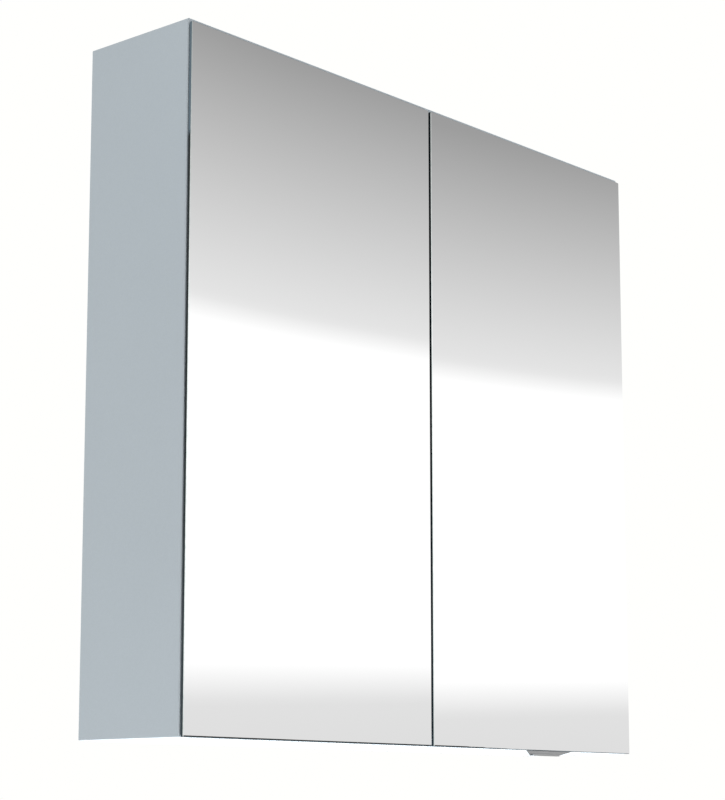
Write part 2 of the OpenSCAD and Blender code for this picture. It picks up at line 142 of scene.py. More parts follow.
def breakEdges(piece, width, steps=2, angle=32):  # rounds every sharp edge a little and settles the shading
    bpy.ops.object.select_all(action="DESELECT")
    piece.select_set(True)
    bpy.context.view_layer.objects.active = piece
    bevel = piece.modifiers.new("edges", "BEVEL")
    bevel.width = width
    bevel.segments = steps
    bevel.limit_method = "ANGLE"
    bevel.angle_limit = math.radians(angle)
    bevel.use_clamp_overlap = False
    bpy.ops.object.modifier_apply(modifier="edges")
    bpy.ops.object.shade_smooth()
    weigh = piece.modifiers.new("shading", "WEIGHTED_NORMAL")
    weigh.weight = 100
    bpy.ops.object.modifier_apply(modifier="shading")


def dress(piece, materials, rule=None):  # gives the materials, face by face where there is a rule
    for material in materials:
        piece.data.materials.append(material)
    for face in piece.data.polygons:
        face.material_index = rule(face.normal, face.center) if rule else 0


def settle(piece, slot, *replaced):  # stays inside the box of the part it stands for and rides with it
    corner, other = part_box(replaced[0])
    for vertex in piece.data.vertices:
        vertex.co = [min(max(vertex.co[i], corner[i]), other[i]) for i in range(3)]
    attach(piece, bodyOf[replaced[0]])
    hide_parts(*replaced)


def cubeBetween(name, corner, other):
    bpy.ops.object.select_all(action="DESELECT")
    bpy.ops.mesh.primitive_cube_add(size=1, location=(0, 0, 0))
    piece = bpy.context.object
    piece.name = name
    piece.data.transform(Matrix.Translation((corner + other) / 2) @ Matrix.Diagonal((*(other - corner), 1)))
    return piece


# stage: white surroundings that fall to grey high up and low down in front, a pale floor and soft lights
stage = {
    "floorBelow": 1.5,           # floor under the cabinet's middle
    "floorHalf": 30,
    "floorTone": "#E9E9E7",
    "floorFade": (1.5, 9.0),     # where the floor starts and ends melting away, from its middle
    "frontFacing": (0.2, 0.5),   # where the front surroundings begin, by how far a direction faces forward
    "ridge": 48.5,               # bearing at which the front surroundings' heights are given, in degrees
    "ridgeLean": 1.1,            # how the white band narrows towards the left
    "ridgeFoot": 3.5,            # height it narrows towards, in degrees
    "ridgeReach": 0.15,          # how far round it goes on narrowing, in radians
    "heights": (-15, 30),
    "strength": 1.12,
    "ambient": (0.893, 0.893, 0.88, 1),
    # the surroundings in front, from the ground up: height in degrees and brightness
    "ground": (0, 0.69), "skirt": (3.0, 0.74), "glowFoot": (4.0, 1.0), "glowTop": (12.4, 1.0),
    "ceilingEdge": (13.0, 0.77), "ceiling": (19.5, 0.33),
}
world = bpy.data.worlds.new("studioSurroundings")
bpy.context.scene.world = world
world.use_nodes = True
tree = world.node_tree
tree.nodes.clear()
gaze = addNode(tree, "TexCoord").outputs["Generated"]
parts = addNode(tree, "SeparateXYZ", None, {0: gaze}).outputs
forward = addNode(tree, "Math", {"operation": "MULTIPLY"}, {0: parts[1], 1: -1.0}).outputs[0]
bearing = addNode(tree, "Math", {"operation": "ARCTAN2"}, {0: parts[0], 1: forward}).outputs[0]
rise = addNode(tree, "Math", {"operation": "ARCSINE"}, {0: parts[2]}).outputs[0]
bearingOff = addNode(tree, "Clamp", None, {
    "Value": addNode(tree, "Math", {"operation": "SUBTRACT"}, {0: bearing, 1: math.radians(stage["ridge"])}).outputs[0],
    "Min": -stage["ridgeReach"], "Max": stage["ridgeReach"]}).outputs[0]
above = addNode(tree, "Math", {"operation": "SUBTRACT"}, {0: rise, 1: math.radians(stage["ridgeFoot"])}).outputs[0]
lean = addNode(tree, "Math", {"operation": "MULTIPLY"}, {0: bearingOff, 1: stage["ridgeLean"]}).outputs[0]
leaned = addNode(tree, "Math", {"operation": "MULTIPLY_ADD"}, {0: above, 1: lean, 2: rise}).outputs[0]
lowest, topmost = stage["heights"]
share = addNode(tree, "MapRange", None, {
    "Value": leaned, "From Min": math.radians(lowest), "From Max": math.radians(topmost)}).outputs[0]
band = addNode(tree, "ValToRGB", None, {"Fac": share})
heightsUp = ("ground", "skirt", "glowFoot", "glowTop", "ceilingEdge", "ceiling")
blendStops(band.color_ramp, [((stage[h][0] - lowest) / (topmost - lowest), stage[h][1]) for h in heightsUp])
facing = addNode(tree, "MapRange", {"interpolation_type": "SMOOTHSTEP"}, {
    "Value": forward, "From Min": stage["frontFacing"][0], "From Max": stage["frontFacing"][1]}).outputs[0]
seen = addNode(tree, "Mix", {"data_type": "RGBA"}, {0: facing, 6: stage["ambient"], 7: band.outputs["Color"]}).outputs[2]
glow = addNode(tree, "Background", None, {"Color": seen, "Strength": stage["strength"]})
addNode(tree, "OutputWorld", None, {"Surface": glow.outputs[0]})

# painted floor: pale and matt near the cabinet, melting into the surroundings far away
floorMaterial, tree, shader, place = newMaterial("paintedStudioFloor", {
    "Base Color": stage["floorTone"], "Roughness": 0.8, "Specular IOR Level": 0.2, "Emission Strength": 1.0})
flat = addNode(tree, "VectorMath", {"operation": "MULTIPLY"}, {0: place, 1: (1, 1, 0)}).outputs[0]
away = addNode(tree, "VectorMath", {"operation": "LENGTH"}, {0: flat}).outputs["Value"]
outward = addNode(tree, "VectorMath", {"operation": "NORMALIZE"}, {0: flat}).outputs[0]
forward = addNode(tree, "VectorMath", {"operation": "DOT_PRODUCT"}, {0: outward, 1: (0, -1, 0)}).outputs["Value"]
facing = addNode(tree, "MapRange", {"interpolation_type": "SMOOTHSTEP"}, {
    "Value": forward, "From Min": stage["frontFacing"][0], "From Max": stage["frontFacing"][1]}).outputs[0]
farTone = addNode(tree, "Mix", {"data_type": "RGBA"}, {
    0: facing, 6: [v * stage["strength"] for v in stage["ambient"]],
    7: (*[stage["ground"][1] * stage["strength"]] * 3, 1)}).outputs[2]
fade = addNode(tree, "MapRange", {"interpolation_type": "SMOOTHSTEP"}, {
    "Value": away, "From Min": stage["floorFade"][0], "From Max": stage["floorFade"][1]}).outputs[0]
ownTone = addNode(tree, "Mix", {"data_type": "RGBA"}, {0: fade, 6: stage["floorTone"], 7: "#000000"}).outputs[2]
farGlow = addNode(tree, "Mix", {"data_type": "RGBA"}, {0: fade, 6: "#000000", 7: farTone}).outputs[2]
tree.links.new(ownTone, shader.inputs["Base Color"])
tree.links.new(farGlow, shader.inputs["Emission Color"])
bpy.ops.object.select_all(action="DESELECT")
bpy.ops.mesh.primitive_plane_add(size=2 * stage["floorHalf"], location=(0, 0, centre.z - stage["floorBelow"]))
floor = bpy.context.object
floor.name = "studioFloor"
floor.data.materials.append(floorMaterial)

# name: place from the cabinet's middle, size, power, warmth
lamps = {
    "keySoftbox": ((-2.6, -1.2, -0.6), 1.4, 9, "#FFFDF8"),
    "fillSoftbox": ((1.6, -2.6, 1.9), 1.8, 35, "#F8FBFF"),
    "floorBounce": ((0.0, -0.1, -1.05), 1.1, 26, "#FFFFFF"),
}
for name, (offset, size, power, tone) in lamps.items():
    bpy.ops.object.light_add(type="AREA", location=centre + Vector(offset))
    lamp = bpy.context.object
    lamp.name = name
    lamp.data.shape = "SQUARE"
    lamp.data.size = size
    lamp.data.energy = power
    lamp.data.color = toLinear(tone)[:3]
    lamp.rotation_euler = (-Vector(offset)).to_track_quat("-Z", "Y").to_euler()
    lamp.visible_camera = False
    lamp.visible_glossy = False

# offset from the cabinet's middle in metres, angles in degrees
camera = {"offset": (-1.808, -1.565, -0.432), "turn": -48.64, "tilt": 9.12, "lens": 96.6, "rise": 0.09}
bpy.ops.object.camera_add(location=centre + Vector(camera["offset"]))
eye = bpy.context.object
eye.name = "viewingCamera"
eye.rotation_mode = "QUATERNION"
eye.rotation_quaternion = (Matrix.Rotation(math.radians(camera["turn"]), 3, "Z")
                           @ Matrix.Rotation(math.radians(90 + camera["tilt"]), 3, "X")).to_quaternion()
eye.data.lens = camera["lens"]
eye.data.shift_y = camera["rise"]
eye.data.clip_start, eye.data.clip_end = 0.05, 200
bpy.context.scene.camera = eye
bpy.context.scene.view_settings.view_transform = "Standard"
print("stage set")

# melamine-faced chipboard: a satin, faintly pearled blue-grey skin
board = {"tone": "#ABB5BD", "cloud": "#A7B1B9", "pearl": 1.6, "edge": 0.7 * mm, "steps": 3}
melamine, tree, shader, place = newMaterial("melamineFacedBoard", {"Coat Weight": 0.08, "Coat Roughness": 0.3})
cloud = addNode(tree, "TexNoise", None, {"Vector": place, "Scale": 1 / 0.14, "Detail": 3.0}).outputs["Fac"]
grain = addNode(tree, "TexNoise", None, {"Vector": place, "Scale": 1000 / board["pearl"], "Detail": 2.0}).outputs["Fac"]
tone = addNode(tree, "Mix", {"data_type": "RGBA"}, {0: cloud, 6: board["tone"], 7: board["cloud"]}).outputs[2]
fleck = addNode(tree, "MapRange", None, {
    "Value": grain, "From Min": 0.3, "From Max": 0.7, "To Min": 0.975, "To Max": 1.02}).outputs[0]
fleckTone = addNode(tree, "Mix", {"data_type": "RGBA", "blend_type": "MULTIPLY"}, {0: 1.0, 6: tone, 7: fleck}).outputs[2]
tree.links.new(fleckTone, shader.inputs["Base Color"])
gloss = addNode(tree, "MapRange", None, {"Value": grain, "To Min": 0.36, "To Max": 0.50}).outputs[0]
tree.links.new(gloss, shader.inputs["Roughness"])
# the pearl is drawn a little coarser than the real 0.4 mm so that it shows
bump = addNode(tree, "Bump", None, {"Strength": 0.25, "Distance": 0.05 * mm, "Height": grain}).outputs[0]
tree.links.new(bump, shader.inputs["Normal"])

# raw chipboard where the boards are cut: pale and dark chips pressed together
core, tree, shader, place = newMaterial("rawChipboard", {"Roughness": 0.9, "Specular IOR Level": 0.15})
ragged = addNode(tree, "TexNoise", None, {"Vector": place, "Scale": 1000 / 2.0, "Detail": 3.0}).outputs["Color"]
torn = addNode(tree, "VectorMath", {"operation": "MULTIPLY_ADD"}, {0: ragged, 1: (3 * mm, 3 * mm, 3 * mm), 2: place}).outputs[0]
chips = addNode(tree, "TexVoronoi", None, {"Vector": torn, "Scale": 1000 / 2.6, "Randomness": 1.0})
dust = addNode(tree, "TexNoise", None, {"Vector": place, "Scale": 1000 / 0.9, "Detail": 5.0}).outputs["Fac"]
chipShade = addNode(tree, "SeparateColor", None, {0: chips.outputs["Color"]}).outputs[0]
mixed = addNode(tree, "Mix", {"data_type": "FLOAT"}, {0: 0.6, 2: chipShade, 3: dust}).outputs[0]
chipTone = addNode(tree, "ValToRGB", None, {"Fac": mixed})
blendStops(chipTone.color_ramp, [(0.0, "#6E5B47"), (0.35, "#A28B6D"), (0.6, "#BFAB8D"), (1.0, "#D8CBB4")])
tree.links.new(chipTone.outputs["Color"], shader.inputs["Base Color"])
bump = addNode(tree, "Bump", None, {"Strength": 0.6, "Distance": 0.3 * mm, "Height": mixed}).outputs[0]
tree.links.new(bump, shader.inputs["Normal"])

for node in ("left_side_panel", "right_side_panel", "top_panel", "bottom_panel", "centre_divider"):
    corner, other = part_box(node)
    piece = mergedCopy(node, node + "_board")
    breakEdges(piece, board["edge"], board["steps"])

    def boardSkin(normal, at):  # raw at the wall edge, in the grooves and in the holes
        onSkin = any(min(at[i] - corner[i], other[i] - at[i]) < 1.0 * mm for i in range(3))
        atWall = normal.y > 0.9 and at.y > -1 * mm
        return 1 if atWall or not onSkin else 0
    dress(piece, [melamine, core], boardSkin)
    settle(piece, "carcass_board", node)
print("boards finished")

# ABS banding: the board's colour a shade deeper, with the fine drawn lines of extrusion
band = {"tone": "#AEB7BD", "line": 0.5, "edge": 0.35 * mm}
banding, tree, shader, place = newMaterial("extrudedAbsBanding", {"Roughness": 0.38})
along = addNode(tree, "Mapping", None, {"Vector": place, "Scale": (1, 1, 0.02)}).outputs[0]
lines = addNode(tree, "TexNoise", None, {"Vector": along, "Scale": 1000 / band["line"], "Detail": 2.0}).outputs["Fac"]
bandTone = addNode(tree, "ValToRGB", None, {"Fac": lines})
blendStops(bandTone.color_ramp, [(0.3, "#A8B1B8"), (0.7, band["tone"])])
tree.links.new(bandTone.outputs["Color"], shader.inputs["Base Color"])
bump = addNode(tree, "Bump", None, {"Strength": 0.2, "Distance": 0.03 * mm, "Height": lines}).outputs[0]
tree.links.new(bump, shader.inputs["Normal"])
for node in [n for n in nodes if "edge_band" in n]:
    piece = mergedCopy(node, node + "_abs")
    breakEdges(piece, band["edge"], 2)
    dress(piece, [banding])
    settle(piece, "edge_band", node)

# hardboard back: white lacquer inside, brown pressed fibre with the press's wire mesh in it towards the wall
back = {"lacquer": "#DDE2E5", "fibre": "#7F6248", "paleFibre": "#A0856A", "stain": "#8C7763", "mesh": 3.0, "edge": 0.3 * mm}
lacquer, tree, shader, place = newMaterial("lacqueredHardboard", {"Roughness": 0.35, "Coat Weight": 0.1})
roll = addNode(tree, "TexNoise", None, {"Vector": place, "Scale": 1000 / 2.2, "Detail": 3.0}).outputs["Fac"]
rollTone = addNode(tree, "ValToRGB", None, {"Fac": roll})
blendStops(rollTone.color_ramp, [(0.3, "#D6DCDF"), (0.7, back["lacquer"])])
tree.links.new(rollTone.outputs["Color"], shader.inputs["Base Color"])
bump = addNode(tree, "Bump", None, {"Strength": 0.25, "Distance": 0.05 * mm, "Height": roll}).outputs[0]
tree.links.new(bump, shader.inputs["Normal"])
fibre, tree, shader, place = newMaterial("rawHardboard", {"Roughness": 0.85, "Specular IOR Level": 0.2})
strands = addNode(tree, "TexNoise", None, {"Vector": place, "Scale": 1000 / 1.6, "Detail": 6.0, "Distortion": 1.5}).outputs["Fac"]
strandTone = addNode(tree, "ValToRGB", None, {"Fac": strands})
blendStops(strandTone.color_ramp, [(0.3, back["fibre"]), (0.7, back["paleFibre"])])
pulp = addNode(tree, "TexNoise", None, {"Vector": place, "Scale": 1000 / 110, "Detail": 5.0, "Distortion": 0.6}).outputs["Fac"]
stained = addNode(tree, "MapRange", None, {"Value": pulp, "From Min": 0.45, "From Max": 0.7, "To Max": 0.55}).outputs[0]
fibreTone = addNode(tree, "Mix", {"data_type": "RGBA"}, {0: stained, 6: strandTone.outputs["Color"], 7: back["stain"]}).outputs[2]
tree.links.new(fibreTone, shader.inputs["Base Color"])
dull = addNode(tree, "MapRange", None, {"Value": pulp, "To Min": 0.6, "To Max": 0.95}).outputs[0]
tree.links.new(dull, shader.inputs["Roughness"])
wires = [addNode(tree, "TexWave", {"bands_direction": axis}, {
    "Vector": place, "Scale": waveLength * 1000 / back["mesh"]}).outputs["Fac"] for axis in ("X", "Z")]
pressed = addNode(tree, "Math", {"operation": "MAXIMUM"}, {0: wires[0], 1: wires[1]}).outputs[0]
relief = addNode(tree, "Math", {"operation": "MULTIPLY_ADD"}, {0: pressed, 1: 0.6, 2: strands}).outputs[0]
bump = addNode(tree, "Bump", None, {"Strength": 0.5, "Distance": 0.15 * mm, "Height": relief}).outputs[0]
tree.links.new(bump, shader.inputs["Normal"])
piece = mergedCopy("back_panel", "hardboard_back")
breakEdges(piece, back["edge"], 1)
dress(piece, [lacquer, fibre], lambda normal, at: 0 if normal.y < -0.5 else 1)
settle(piece, "back_board", "back_panel")
print("back and banding finished")

# mirror leaf: silvered 4 mm float glass with a polished arris all round
leaf = {
    "arris": 0.6 * mm, "backArris": 0.4 * mm, "corner": 1.2 * mm,
    "silver": "#F4F4F4",
    "paintedShadeWidth": 1.6 * mm, "paintedShadeTone": "#2B2A29",   # painted shade: a dark band along the foot of the mirror face, standing for the shadow line under the doors
    "paintedShadeFade": (0.12, 0.26), "paintedShadeRagged": 0.12,   # where along the cabinet the painted shade dies out, and how unevenly
    "paintedLightBand": (0.125, 0.115),   # where painted light turns the outer edge pale, below the cabinet's top
    "wave": 260, "waveHeight": 0.02,        # the roller wave of float glass, in mm
    "lean": {"left": 0.0, "right": 0.0059},   # how far each leaf's shading normal leans back, as a slope; the glass itself stays flat
    # edge tones: a near black that is partly the glass's own colour and partly painted shade, and a pale tone of
    # painted light
    "edgeToneAndShade": "#0D1517", "edgePaintedLight": "#586873", "paint": "#8C9499",
}


def silvered(name, lean, foot):  # a bright mirror with the slow wave of float glass and a painted shade line along its foot
    made, tree, shader, place = newMaterial(name, {"Metallic": 1.0, "Roughness": 0.012})
    axes = addNode(tree, "SeparateXYZ", None, {0: place}).outputs
    # painted shade: a dark line along the foot of the face, full on the left and dying out raggedly towards the right
    paintedShadeBreakup = addNode(tree, "TexNoise", None, {"Vector": place, "Scale": 1000 / 14, "Detail": 3.0}).outputs["Fac"]
    reach = addNode(tree, "Math", {"operation": "MULTIPLY_ADD"}, {0: paintedShadeBreakup, 1: leaf["paintedShadeRagged"], 2: axes[0]}).outputs[0]
    lasting = addNode(tree, "MapRange", None, {
        "Value": reach, "From Min": leaf["paintedShadeFade"][0], "From Max": leaf["paintedShadeFade"][1], "To Min": 1.0, "To Max": 0.0}).outputs[0]
    wide = addNode(tree, "Math", {"operation": "MULTIPLY"}, {0: lasting, 1: leaf["paintedShadeWidth"]}).outputs[0]
    aboveFoot = addNode(tree, "Math", {"operation": "SUBTRACT"}, {0: axes[2], 1: foot}).outputs[0]
    inPaintedShade = addNode(tree, "Math", {"operation": "LESS_THAN"}, {0: aboveFoot, 1: wide}).outputs[0]
    faceTone = addNode(tree, "Mix", {"data_type": "RGBA"}, {0: inPaintedShade, 6: leaf["silver"], 7: leaf["paintedShadeTone"]}).outputs[2]
    tree.links.new(faceTone, shader.inputs["Base Color"])
    wave = addNode(tree, "TexNoise", None, {"Vector": place, "Scale": 1000 / leaf["wave"], "Detail": 0.5}).outputs["Fac"]
    bump = addNode(tree, "Bump", None, {"Strength": 1.0, "Distance": leaf["waveHeight"] * mm, "Height": wave}).outputs[0]
    leaned = addNode(tree, "VectorMath", {"operation": "ADD"}, {0: bump, 1: (0, 0, lean)}).outputs[0]
    tidy = addNode(tree, "VectorMath", {"operation": "NORMALIZE"}, {0: leaned}).outputs[0]
    tree.links.new(tidy, shader.inputs["Normal"])
    return made


# cut glass edge: deep blue-green taken near black, partly its own colour and partly painted shade of the gap, with
# painted light near the top of the outer edge and towards the bottom
glassEdge, tree, shader, place = newMaterial("groundGlassEdge", {"Roughness": 0.16, "IOR": 1.52, "Specular IOR Level": 0.15})
heightUp = addNode(tree, "SeparateXYZ", None, {0: place}).outputs[2]
murk = addNode(tree, "TexNoise", {"noise_dimensions": "1D"}, {"W": heightUp, "Scale": 22.0, "Detail": 3.0}).outputs["Fac"]
outerEdge = addNode(tree, "Math", {"operation": "ABSOLUTE"}, {
    0: addNode(tree, "SeparateXYZ", None, {0: place}).outputs[0]}).outputs[0]
atSide = addNode(tree, "Math", {"operation": "GREATER_THAN"}, {0: outerEdge, 1: high.x - 2 * mm}).outputs[0]
# painted light: the outer edge turns pale towards the cabinet's top
paintedLightBand = addNode(tree, "MapRange", {"interpolation_type": "SMOOTHSTEP"}, {
    "Value": heightUp, "From Min": high.z - leaf["paintedLightBand"][0], "From Max": high.z - leaf["paintedLightBand"][1]}).outputs[0]
paintedLightAtSide = addNode(tree, "Math", {"operation": "MULTIPLY"}, {0: paintedLightBand, 1: atSide}).outputs[0]
# painted light: the edge grows lighter towards the bottom
foot = addNode(tree, "MapRange", {"interpolation_type": "SMOOTHSTEP"}, {
    "Value": heightUp, "From Min": centre.z, "From Max": low.z, "To Max": 0.2}).outputs[0]
light = addNode(tree, "Math", {"operation": "MAXIMUM"}, {0: paintedLightAtSide, 1: foot}).outputs[0]
edgeShade = addNode(tree, "Math", {"operation": "MULTIPLY_ADD"}, {0: murk, 1: 0.1, 2: light}).outputs[0]
edgeTone = addNode(tree, "Mix", {"data_type": "RGBA"}, {0: edgeShade, 6: leaf["edgeToneAndShade"], 7: leaf["edgePaintedLight"]}).outputs[2]
tree.links.new(edgeTone, shader.inputs["Base Color"])

# polished arris: a thin bright line along the glass
arris, tree, shader, place = newMaterial("polishedArris", {"Metallic": 1.0, "Roughness": 0.08})
shine = addNode(tree, "TexNoise", None, {"Vector": place, "Scale": 1000 / 6, "Detail": 2.0}).outputs["Fac"]
shineTone = addNode(tree, "ValToRGB", None, {"Fac": shine})
blendStops(shineTone.color_ramp, [(0.3, "#DCE6E4"), (0.7, "#F6FAF9")])
tree.links.new(shineTone.outputs["Color"], shader.inputs["Base Color"])

# grey backing paint of the mirror, rolled on
backing, tree, shader, place = newMaterial("mirrorBackingPaint", {"Roughness": 0.55})
rolled = addNode(tree, "TexNoise", None, {"Vector": place, "Scale": 1000 / 2.5, "Detail": 3.0}).outputs["Fac"]
rolledTone = addNode(tree, "ValToRGB", None, {"Fac": rolled})
blendStops(rolledTone.color_ramp, [(0.3, "#838B90"), (0.7, leaf["paint"])])
tree.links.new(rolledTone.outputs["Color"], shader.inputs["Base Color"])

for side in sides:
    corner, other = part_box(side + "_door_mirror")
    piece = cubeBetween(side + "_mirror_leaf", corner, other)
    startEditing(piece)
    pick(piece, "edges", lambda e: abs((e.verts[0].co - e.verts[1].co).y) > 1 * mm)
    bpy.ops.mesh.bevel(offset=leaf["corner"], segments=4, affect="EDGES", clamp_overlap=False)
    pick(piece, "edges", lambda e: all(v.co.y < corner.y + 0.01 * mm for v in e.verts))
    bpy.ops.mesh.bevel(offset=leaf["arris"], segments=1, affect="EDGES", clamp_overlap=False)
    pick(piece, "edges", lambda e: all(v.co.y > other.y - 0.01 * mm for v in e.verts))
    bpy.ops.mesh.bevel(offset=leaf["backArris"], segments=1, affect="EDGES", clamp_overlap=False)
    stopEditing()
    silver = silvered(side + "SilveredFloatGlass", leaf["lean"][side], corner.z)

    def leafSkin(normal, at):
        if abs(normal.y) > 0.95:
            return 0 if normal.y < 0 else 3
        # the front arris along the top and bottom takes the dark edge material instead of the bright one: painted shade
        # for the dark line along the doors' edges
        return 2 if -0.95 < normal.y < -0.3 and abs(normal.z) < 0.5 else 1
    dress(piece, [silver, glassEdge, arris, backing], leafSkin)
    settle(piece, "mirror_glass", side + "_door_mirror")

# safety film: a thin grey vinyl with a fine woven emboss
film = {"tone": "#99A1A6", "weave": 3.0}   # weave in mm
vinyl, tree, shader, place = newMaterial("embossedVinylFilm", {"Roughness": 0.34, "Coat Weight": 0.15})
turned = addNode(tree, "Mapping", None, {"Vector": place, "Rotation": (0, math.radians(45), 0)}).outputs[0]
threads = [addNode(tree, "TexWave", {"bands_direction": axis}, {
    "Vector": turned, "Scale": waveLength * 1000 / film["weave"]}).outputs["Fac"] for axis in ("X", "Z")]
weave = addNode(tree, "Math", {"operation": "MAXIMUM"}, {0: threads[0], 1: threads[1]}).outputs[0]
weaveTone = addNode(tree, "ValToRGB", None, {"Fac": weave})
blendStops(weaveTone.color_ramp, [(0.2, "#929A9F"), (0.9, film["tone"])])
tree.links.new(weaveTone.outputs["Color"], shader.inputs["Base Color"])
bump = addNode(tree, "Bump", None, {"Strength": 0.4, "Distance": 0.06 * mm, "Height": weave}).outputs[0]
tree.links.new(bump, shader.inputs["Normal"])
for side in sides:
    piece = mergedCopy(side + "_door_film", side + "_safety_film")
    breakEdges(piece, 0.05 * mm, 1)
    dress(piece, [vinyl])
    settle(piece, "mirror_backing", side + "_door_film")
print("mirror doors finished")

# float glass shelves: clear faces with a slow wave and a faint wiped haze, green polished edges
shelf = {"arris": 0.6 * mm, "clear": "#F0F6F4", "hazed": "#E9F2EF", "green": "#6FA597",
         "wave": 180, "wipe": 35, "waveHeight": 0.015}
clearGlass, tree, shader, place = newMaterial("clearFloatGlass", {"IOR": 1.5, "Transmission Weight": 1.0})
wiped = addNode(tree, "Mapping", None, {"Vector": place, "Scale": (0.25, 1, 1)}).outputs[0]
smear = addNode(tree, "TexNoise", None, {"Vector": wiped, "Scale": 1000 / shelf["wipe"], "Detail": 4.0}).outputs["Fac"]
glassTone = addNode(tree, "Mix", {"data_type": "RGBA"}, {0: smear, 6: shelf["clear"], 7: shelf["hazed"]}).outputs[2]
tree.links.new(glassTone, shader.inputs["Base Color"])
haze = addNode(tree, "MapRange", None, {"Value": smear, "From Min": 0.45, "From Max": 0.75, "To Max": 0.05}).outputs[0]
tree.links.new(haze, shader.inputs["Roughness"])
wave = addNode(tree, "TexNoise", None, {"Vector": place, "Scale": 1000 / shelf["wave"], "Detail": 0.5}).outputs["Fac"]
bump = addNode(tree, "Bump", None, {"Strength": 1.0, "Distance": shelf["waveHeight"] * mm, "Height": wave}).outputs[0]
tree.links.new(bump, shader.inputs["Normal"])
greenEdge, tree, shader, place = newMaterial("polishedShelfEdge", {
    "Roughness": 0.08, "IOR": 1.5, "Transmission Weight": 0.55})
depth = addNode(tree, "TexNoise", None, {"Vector": place, "Scale": 1000 / 18, "Detail": 2.0}).outputs["Fac"]
depthTone = addNode(tree, "ValToRGB", None, {"Fac": depth})
blendStops(depthTone.color_ramp, [(0.3, "#5C9485"), (0.7, shelf["green"])])
tree.links.new(depthTone.outputs["Color"], shader.inputs["Base Color"])
for side in sides:
    for level in levels:
        node = side + "_" + level + "_shelf"
        piece = mergedCopy(node, node + "_glass")
        breakEdges(piece, shelf["arris"], 2)
        dress(piece, [clearGlass, greenEdge], lambda normal, at: 0 if abs(normal.z) > 0.7 else 1)
        settle(piece, "shelf_glass", node)

# metals of the fittings
plated = {
    # name: tone, darker tone, roughness, grain in mm, emboss in mm
    "nickelPlatedSteel": ("#CFCCC6", "#BDBAB4", 0.22, 2.5, 0.01),
    "stampedLinkSteel": ("#B4B5B6", "#9C9E9F", 0.33, 1.2, 0.02),
    "groundPinSteel": ("#C6C8CA", "#AEB0B2", 0.18, 0.8, 0.005),
    "bluePassivatedZinc": ("#BEC6CE", "#A4ABB4", 0.3, 3.0, 0.01),
    "dieCastZinc": ("#B4B5B4", "#9D9E9D", 0.46, 0.9, 0.04),
    "turnedPinNickel": ("#D0D0CE", "#BCBCBA", 0.2, 1.5, 0.008),
}
metals = {}
for name, (bright, dark, roughness, size, emboss) in plated.items():
    metals[name], tree, shader, place = newMaterial(name, {"Metallic": 1.0, "Roughness": roughness})
    mottle = addNode(tree, "TexNoise", None, {"Vector": place, "Scale": 1000 / size, "Detail": 3.0}).outputs["Fac"]
    mottleTone = addNode(tree, "ValToRGB", None, {"Fac": mottle})
    blendStops(mottleTone.color_ramp, [(0.3, dark), (0.7, bright)])
    tree.links.new(mottleTone.outputs["Color"], shader.inputs["Base Color"])
    wear = addNode(tree, "MapRange", None, {
        "Value": mottle, "To Min": roughness * 0.75, "To Max": roughness * 1.25}).outputs[0]
    tree.links.new(wear, shader.inputs["Roughness"])
    bump = addNode(tree, "Bump", None, {"Strength": 0.3, "Distance": emboss * mm, "Height": mottle}).outputs[0]
    tree.links.new(bump, shader.inputs["Normal"])

# galvanised strip: flat crystals of zinc, each catching the light its own way
galvanised, tree, shader, place = newMaterial("hotDipGalvanisedSteel", {"Metallic": 1.0})
crystals = addNode(tree, "TexVoronoi", None, {"Vector": place, "Scale": 1000 / 6, "Randomness": 1.0})
crystalShade = addNode(tree, "SeparateColor", None, {0: crystals.outputs["Color"]}).outputs[0]
crystalTone = addNode(tree, "ValToRGB", None, {"Fac": crystalShade})
blendStops(crystalTone.color_ramp, [(0.0, "#9BA1A5"), (0.6, "#B0B5B8"), (1.0, "#C3C8CA")])
tree.links.new(crystalTone.outputs["Color"], shader.inputs["Base Color"])
crystalGloss = addNode(tree, "MapRange", None, {"Value": crystalShade, "To Min": 0.28, "To Max": 0.52}).outputs[0]
tree.links.new(crystalGloss, shader.inputs["Roughness"])
metals["hotDipGalvanisedSteel"] = galvanised

fittings = [
    # nodes, ending of the new name, slot, metal, edge in mm, steps
    (["cam_bolts"], "turned", "cam_zinc", "bluePassivatedZinc", 0.2, 2),
    (["cam_locks"], "cast", "cam_zinc", "dieCastZinc", 0.25, 2),
    (["shelf_pins"], "turned", "shelf_pin_steel", "turnedPinNickel", 0.4, 2),
    (["left_strike_plate", "right_strike_plate"], "disc", "strike_steel", "nickelPlatedSteel", 0.3, 3),
    ([s + "_" + l + "_hinge_" + p for s in sides for l in levels for p in ("plate", "arm", "boss")],
     "plated", "hinge_nickel", "nickelPlatedSteel", 0.35, 3),
    ([s + "_" + l + "_" + p + "_link" for s in sides for l in levels for p in ("arm", "boss")],
     "stamped", "link_steel", "stampedLinkSteel", 0.3, 2),
    (["arm_pins", "left_elbow_pins", "right_elbow_pins", "left_boss_pins", "right_boss_pins"],
     "ground", "pin_steel", "groundPinSteel", 0.3, 2),
    (["hinge_screws", "hanger_screws"], "zinced", "screw_zinc", "bluePassivatedZinc", 0.25, 2),
    (["wall_rail", "left_hanger_bracket", "right_hanger_bracket"], "galvanised", "rail_zinc", "hotDipGalvanisedSteel", 0.6, 3),
]
for names, ending, slot, metal, edge, steps in fittings:
    for node in names:
        piece = mergedCopy(node, node + "_" + ending)
        breakEdges(piece, edge * mm, steps)
        dress(piece, [metals[metal]])
        settle(piece, slot, node)
print("fittings finished")

